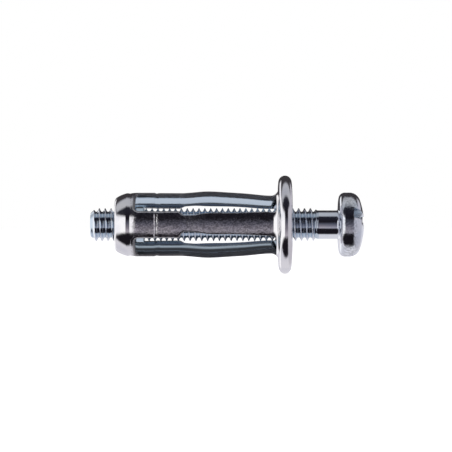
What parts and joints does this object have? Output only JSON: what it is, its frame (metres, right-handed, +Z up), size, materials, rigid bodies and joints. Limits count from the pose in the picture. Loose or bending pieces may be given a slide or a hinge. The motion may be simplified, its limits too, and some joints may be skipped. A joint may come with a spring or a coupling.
{
  "type": "expansion wall plug",
  "caption": "Zinc-plated steel expansion plug for hollow walls: a legged sleeve with a domed tapped cap and a hemmed flange, folded outwards by the pan head screw through it.",
  "frame": {"origin": "on the plug's axis, in the plane of the flange's wall-side face, which is the face of the wall when the plug is fitted", "axes": "+X along the axis out of the wall, towards the screw head; +Z up as in an upright wall; one leg of the sleeve faces -Y"},
  "size_m": [0.0325, 0.0118, 0.0118],
  "materials": {
    "sleeve_zinc": "bright zinc plating on drawn sheet steel",
    "screw_zinc": "bright zinc plating with a bluish passivation"
  },
  "bodies": {
    "sleeve": {"sleeve": "sleeve_zinc"},
    "screw": {"screw": "screw_zinc"}
  },
  "joints": [
    {"name": "screw_travel", "type": "slide", "parent": "sleeve", "child": "screw", "axis": [1, 0, 0], "range_m": [-0.0056, 0.0056]}
  ]
}
